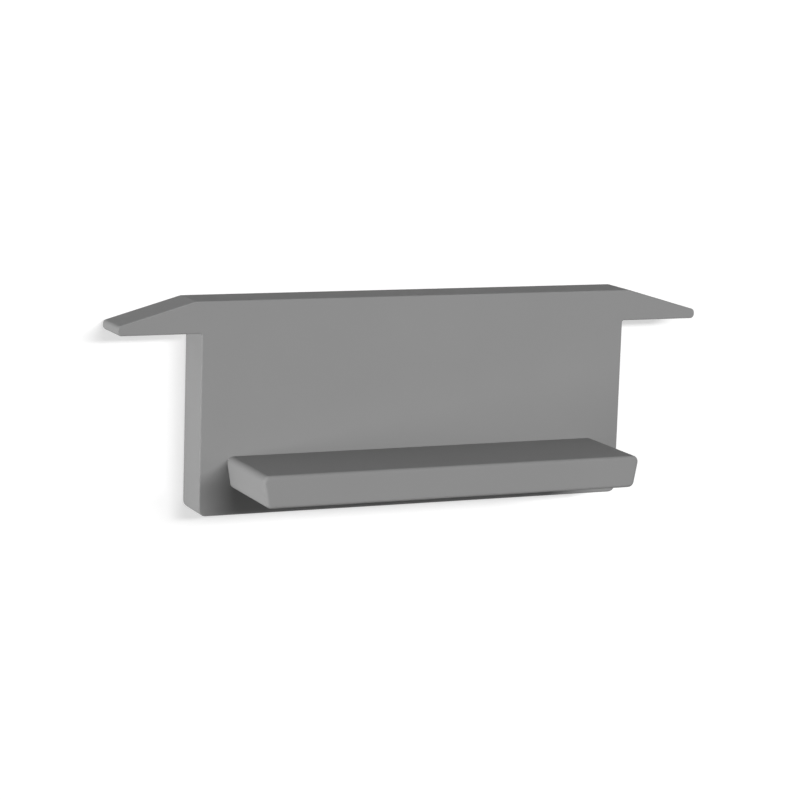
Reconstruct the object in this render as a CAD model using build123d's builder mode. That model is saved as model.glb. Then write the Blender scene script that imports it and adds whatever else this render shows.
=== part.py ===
from build123d import *
import os

# A push-in end cap for a flanged, recessed aluminium profile, moulded in one piece.
# It lies on its outer face: +X runs across the flanges, +Y towards the flanged side
# of the profile, and +Z along the profile, into its channel.
# The origin is under the middle of the cap's bounding box. Sizes are in millimetres.

# Driving dimensions: the outline, which repeats the profile's own section
body_width = 20.0  # across the profile's side walls
body_drop = 7.86  # from the flanges' underside down to the body's free edge
flange_overhang = 3.7  # past each side of the body
flange_root_thickness = 1.38  # also the height of the flat crown above the undersides
flange_tip_thickness = 0.4
crown_margin = 0.27  # how far the flat crown runs past each side of the body

# Driving dimensions: the plate and its edges
plate_thickness = 2.2
outer_edge_radius = 0.2  # round the outer face
inner_edge_radius = 0.06  # round the face that meets the profile
body_corner_radius = 0.32
flange_tip_radius = 0.19
flange_root_radius = 0.1

# Driving dimensions: the plug, which presses in beside the profile's walls and floor
profile_wall = 1.1
side_clearance = 0.1
floor_clearance = 0.05
plug_thickness = 1.4
plug_length = 4.35
plug_side_slope = 10.0  # degrees by which each side leans in towards the floor
plug_corner_radius = 0.27  # along the plug
plug_nose_radius = 0.15  # round the plug's free end

# Lines that the outline and the plug share
half_body = body_width / 2
half_flange = half_body + flange_overhang
half_crown = half_body + crown_margin
free_edge = -(body_drop + flange_root_thickness) / 2
underside = free_edge + body_drop
crown = underside + flange_root_thickness

plug_width = body_width - 2 * (profile_wall + side_clearance)
plug_underside = free_edge + profile_wall + floor_clearance

with BuildPart() as end_cap:
    # The plate: half of the T-shaped outline with a flange that thins towards its tip,
    # mirrored, its corners rounded, and raised from the outer face
    with BuildSketch() as outline:
        with BuildLine():
            Polyline(
                (0, free_edge),
                (half_body, free_edge),
                (half_body, underside),
                (half_flange, underside),
                (half_flange, underside + flange_tip_thickness),
                (half_crown, crown),
                (0, crown),
            )
            mirror(about=Plane.YZ)
        make_face()
        beneath = outline.vertices().filter_by_position(Axis.Y, underside, underside)
        fillet(beneath.filter_by_position(Axis.X, -half_body, half_body), flange_root_radius)
        fillet(outline.vertices().group_by(Axis.Y)[0], body_corner_radius)
        fillet(outline.vertices().group_by(Axis.X)[0], flange_tip_radius)
        fillet(outline.vertices().group_by(Axis.X)[-1], flange_tip_radius)
    extrude(amount=plate_thickness)
    fillet(end_cap.faces().sort_by(Axis.Z)[0].edges(), outer_edge_radius)
    fillet(end_cap.faces().sort_by(Axis.Z)[-1].edges(), inner_edge_radius)

    # The plug: one broad tongue with rounded corners and a rounded nose; its side angle
    # is past a right angle, so that the side by the profile's floor is the narrower one
    with BuildSketch(Plane.XY.offset(plate_thickness)) as tongue:
        with Locations((0, plug_underside)):
            Trapezoid(
                plug_width,
                plug_thickness,
                90 + plug_side_slope,
                align=(Align.CENTER, Align.MIN),
            )
        fillet(tongue.vertices(), plug_corner_radius)
    extrude(amount=plug_length)
    fillet(end_cap.faces().sort_by(Axis.Z)[-1].edges(), plug_nose_radius)

end_cap.part.label = "end_cap"

os.makedirs("parts", exist_ok=True)
export_step(end_cap.part, "parts/end_cap.step")
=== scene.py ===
import bpy
import math
from mathutils import Matrix, Vector

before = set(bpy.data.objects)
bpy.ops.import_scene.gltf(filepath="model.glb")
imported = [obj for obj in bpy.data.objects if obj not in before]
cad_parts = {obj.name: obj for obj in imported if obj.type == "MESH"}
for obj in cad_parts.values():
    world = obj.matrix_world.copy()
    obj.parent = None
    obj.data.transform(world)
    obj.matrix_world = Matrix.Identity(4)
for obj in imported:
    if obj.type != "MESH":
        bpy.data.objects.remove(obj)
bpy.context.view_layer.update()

# Lengths are in metres, angles in degrees.
MM = 0.001

# The camera looks down on the cap. It is tilted from straight above to the left, then towards
# the flanged side, and turned a little about its own line of sight.
CAMERA_SIDE = 23.9
CAMERA_RISE = 9.86
CAMERA_ROLL = 1.81
CAMERA_DISTANCE = 114.9 * MM
CAMERA_AIM = Vector((-0.329, -0.163, 1.086)) * MM
CLIP_START = 5 * MM
CLIP_END = 10
# Blender takes these two in millimetres.
LENS = 117.42
SENSOR = 36

# The cap's plastic: a fine grain in height and roughness, and faint clouds in brightness.
PLASTIC_GREY = 0.27
PLASTIC_ROUGHNESS = 0.8
PLASTIC_GLOSS = 0.05
GRAIN_SIZE = 0.12 * MM
GRAIN_DEPTH = 0.002 * MM
GRAIN_DETAIL = 3.0
GRAIN_ROUGHNESS = 0.06
CLOUD_SIZE = 4 * MM
CLOUD_DETAIL = 2.0
CLOUD_SHADE = 0.03

# The floor: how much it reflects, and how much glow the camera sees on top of that.
FLOOR_SIZE = 4
FLOOR_GREY = 0.5
FLOOR_LIFT = 0.6

# The soft lights: azimuth from +X towards +Y, elevation, size across Y, size along Y, and the
# light that reaches a surface facing the lamp, where 1 shows a colour as it is written.
LIGHT_DISTANCE = 0.4
LIGHTS = {
    "overhead": (53, 70.5, 0.26, 0.04, 0.86),
    "right": (4, 36, 0.13, 0.13, 0.1),
    "left": (184, 8, 0.1, 0.1, 1.0),
}


def looking_from(direction):
    """The turn of a camera or lamp that looks back along the direction, its X square to +Y."""
    across = Vector((0, 1, 0)).cross(direction).normalized()
    return Matrix((across, direction.cross(across), direction)).transposed().to_4x4()


def add_camera():
    """A long lens, at the photograph's viewing angle."""
    side, rise, roll = (math.radians(d) for d in (CAMERA_SIDE, CAMERA_RISE, CAMERA_ROLL))
    back = Vector(
        (-math.sin(side) * math.cos(rise), math.sin(rise), math.cos(side) * math.cos(rise))
    )
    turn = looking_from(back) @ Matrix.Rotation(roll, 4, "Z")
    data = bpy.data.cameras.new("camera")
    data.lens = LENS
    data.sensor_width = SENSOR
    data.clip_start = CLIP_START
    data.clip_end = CLIP_END
    camera = bpy.data.objects.new("camera", data)
    camera.matrix_world = Matrix.Translation(CAMERA_AIM + back * CAMERA_DISTANCE) @ turn
    bpy.context.collection.objects.link(camera)
    bpy.context.scene.camera = camera


def add_light(name, azimuth, elevation, width, depth, level):
    """An oval lamp, with the power that lights a white surface facing it to the level."""
    around, above = math.radians(azimuth), math.radians(elevation)
    direction = Vector(
        (math.cos(around) * math.cos(above), math.sin(around) * math.cos(above), math.sin(above))
    )
    data = bpy.data.lights.new(name, "AREA")
    data.shape = "ELLIPSE"
    data.size = width
    data.size_y = depth
    data.energy = level * (math.pi * LIGHT_DISTANCE) ** 2
    light = bpy.data.objects.new(name, data)
    light.matrix_world = Matrix.Translation(direction * LIGHT_DISTANCE) @ looking_from(direction)
    bpy.context.collection.objects.link(light)


def add(tree, kind, **inputs):
    """A new node with its inputs set: a value is written, a socket is linked."""
    node = tree.nodes.new(kind)
    for name, value in inputs.items():
        socket = node.inputs[name.replace("_", " ")]
        if isinstance(value, bpy.types.NodeSocket):
            tree.links.new(value, socket)
        else:
            socket.default_value = value
    return node


def remap(tree, value, low, high):
    """The value, from 0 to 1, as one from low to high."""
    node = add(tree, "ShaderNodeMapRange", Value=value, To_Min=low, To_Max=high)
    return node.outputs["Result"]


def grey(value):
    return (value, value, value, 1)


def new_material(name):
    """A new material, its node tree and its shader."""
    material = bpy.data.materials.new(name)
    material.use_nodes = True
    return material, material.node_tree, material.node_tree.nodes["Principled BSDF"]


def plastic():
    """Moulded grey plastic: a fine matte grain, and faint clouds in brightness."""
    material, tree, shader = new_material("grey_plastic")
    place = add(tree, "ShaderNodeTexCoord").outputs["Object"]
    grain = add(tree, "ShaderNodeTexNoise", Vector=place, Scale=1 / GRAIN_SIZE, Detail=GRAIN_DETAIL)
    clouds = add(tree, "ShaderNodeTexNoise", Vector=place, Scale=1 / CLOUD_SIZE, Detail=CLOUD_DETAIL)
    tint = add(
        tree, "ShaderNodeHueSaturation", Color=grey(PLASTIC_GREY),
        Value=remap(tree, clouds.outputs["Fac"], 1 - CLOUD_SHADE, 1 + CLOUD_SHADE),
    )
    roughness = remap(
        tree, grain.outputs["Fac"],
        PLASTIC_ROUGHNESS - GRAIN_ROUGHNESS, PLASTIC_ROUGHNESS + GRAIN_ROUGHNESS,
    )
    bump = add(
        tree, "ShaderNodeBump", Height=grain.outputs["Fac"], Distance=GRAIN_DEPTH, Strength=1.0
    )
    tree.links.new(tint.outputs["Color"], shader.inputs["Base Color"])
    tree.links.new(roughness, shader.inputs["Roughness"])
    tree.links.new(bump.outputs["Normal"], shader.inputs["Normal"])
    shader.inputs["Specular IOR Level"].default_value = PLASTIC_GLOSS
    return material


def seen_rays(tree):
    """1 on the rays that show the background: the camera's, and those that gloss or glass sends on."""
    rays = tree.nodes.new("ShaderNodeLightPath")
    seen = rays.outputs["Is Camera Ray"]
    for kind in ("Is Glossy Ray", "Is Transmission Ray"):
        node = tree.nodes.new("ShaderNodeMath")
        node.operation = "MAXIMUM"
        tree.links.new(seen, node.inputs[0])
        tree.links.new(rays.outputs[kind], node.inputs[1])
        seen = node.outputs["Value"]
    return seen


def add_floor():
    """A plain pale floor that shows the cap's shadow."""
    bpy.ops.mesh.primitive_plane_add(size=FLOOR_SIZE)
    floor = bpy.context.object
    floor.name = "floor"
    material, tree, shader = new_material("pale_floor")
    shader.inputs["Base Color"].default_value = grey(FLOOR_GREY)
    shader.inputs["Roughness"].default_value = 1.0
    shader.inputs["Specular IOR Level"].default_value = 0.0
    shader.inputs["Emission Color"].default_value = grey(1.0)
    lift = remap(tree, seen_rays(tree), 0.0, FLOOR_LIFT)
    tree.links.new(lift, shader.inputs["Emission Strength"])
    floor.data.materials.append(material)


def add_world():
    """A white background, seen by the camera and in gloss, that adds no diffuse light."""
    world = bpy.data.worlds.new("studio")
    bpy.context.scene.world = world
    world.use_nodes = True
    tree = world.node_tree
    background = tree.nodes["Background"]
    background.inputs["Color"].default_value = grey(1.0)
    tree.links.new(seen_rays(tree), background.inputs["Strength"])


add_camera()
for name, settings in LIGHTS.items():
    add_light(name, *settings)
add_floor()
add_world()
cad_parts["end_cap"].material_slots[0].material = plastic()

bpy.context.scene.view_settings.view_transform = "Standard"
